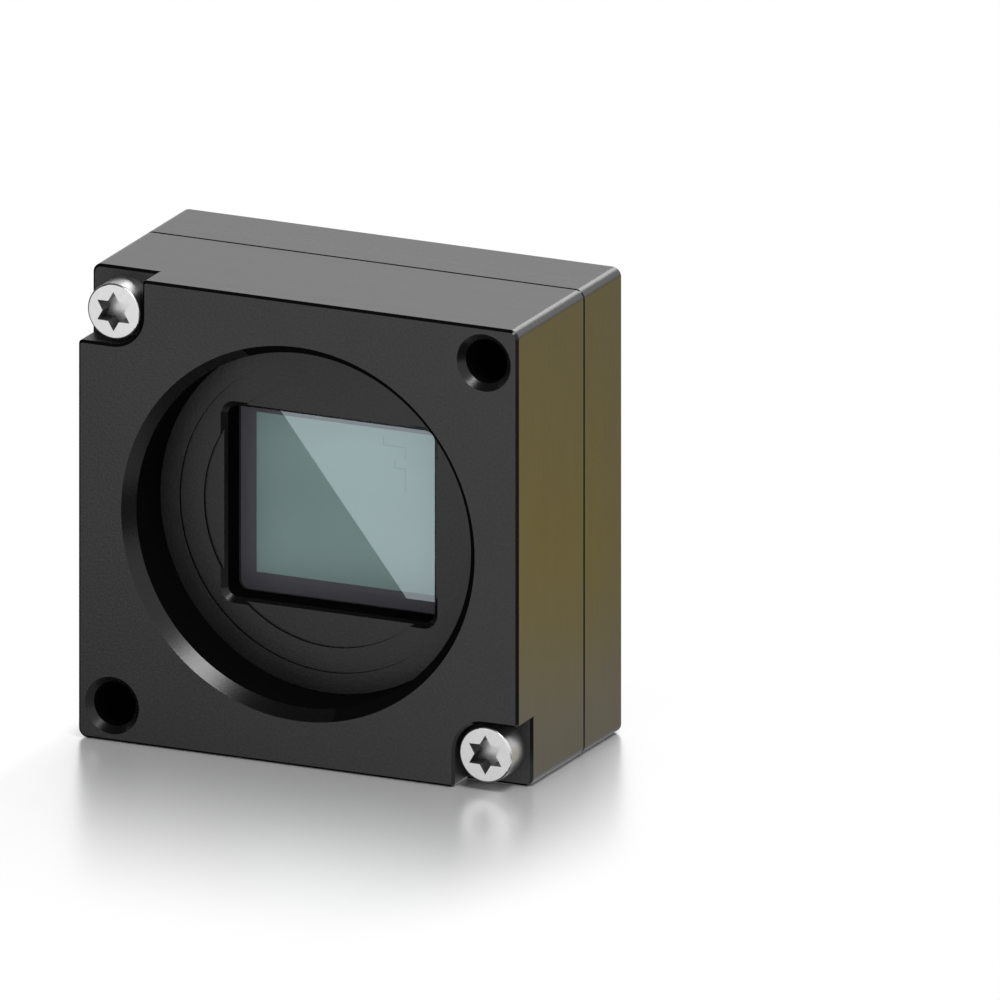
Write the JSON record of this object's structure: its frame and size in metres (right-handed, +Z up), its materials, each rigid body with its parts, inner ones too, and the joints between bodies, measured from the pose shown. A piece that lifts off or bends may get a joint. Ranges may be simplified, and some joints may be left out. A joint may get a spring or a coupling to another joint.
{
  "type": "miniature camera",
  "caption": "Square miniature camera in a split black metal housing, with a round lens recess, a rectangular sensor window and screws sunk in corner pockets.",
  "frame": {"origin": "centre of the base, on the surface that the camera stands on", "axes": "+Z up, +X to the right of someone who faces the lens recess, -Y out of the lens recess"},
  "size_m": [0.0212, 0.0108, 0.0213],
  "materials": {
    "anodised_black": "bead-blasted face and brushed sides, black anodised",
    "screw_steel": "bright stainless steel",
    "gasket_rubber": "matt soft rubber",
    "cover_glass": "polished, coated",
    "package_ceramic": "matt fired ceramic",
    "sensor_silicon": "teal pixel field in a grey-violet border",
    "board_laminate": "solder resist over glass laminate",
    "chip_resin": "moulded resin",
    "ferrite": "sintered ferrite",
    "nickel_can": "plated lid",
    "capacitor_ceramic": "fired ceramic",
    "thermal_silicone": "soft filled silicone",
    "connector_resin": "moulded high-temperature resin",
    "contact_gold": "gold plated",
    "socket_steel": "drawn and nickel plated",
    "clear_acrylic": "polished clear plastic",
    "led_resin": "cast resin"
  },
  "bodies": {
    "root": {"front_housing": "anodised_black", "rear_housing": "anodised_black", "housing_screw_top_left": "screw_steel", "housing_screw_bottom_right": "screw_steel", "window_gasket": "gasket_rubber", "sensor_cover_glass": "cover_glass", "sensor_package": "package_ceramic", "sensor_die": "sensor_silicon", "sensor_board": "board_laminate", "interface_board": "board_laminate", "sensor_board_screw_left": "screw_steel", "sensor_board_screw_right": "screw_steel", "interface_board_screw_left": "screw_steel", "interface_board_screw_right": "screw_steel", "board_connector_socket": "connector_resin", "board_connector_plug": "connector_resin", "image_processor": "chip_resin", "memory_chip": "chip_resin", "usb_controller": "chip_resin", "clock_oscillator": "nickel_can", "power_inductor_1": "ferrite", "power_inductor_2": "ferrite", "thermal_pad": "thermal_silicone", "board_capacitors": "capacitor_ceramic", "usb_socket_shell": "socket_steel", "usb_socket_tongue": "connector_resin", "usb_socket_contacts": "contact_gold", "io_socket_housing": "connector_resin", "io_socket_pins": "contact_gold", "status_led": "led_resin", "light_pipe": "clear_acrylic"}
  },
  "joints": []
}
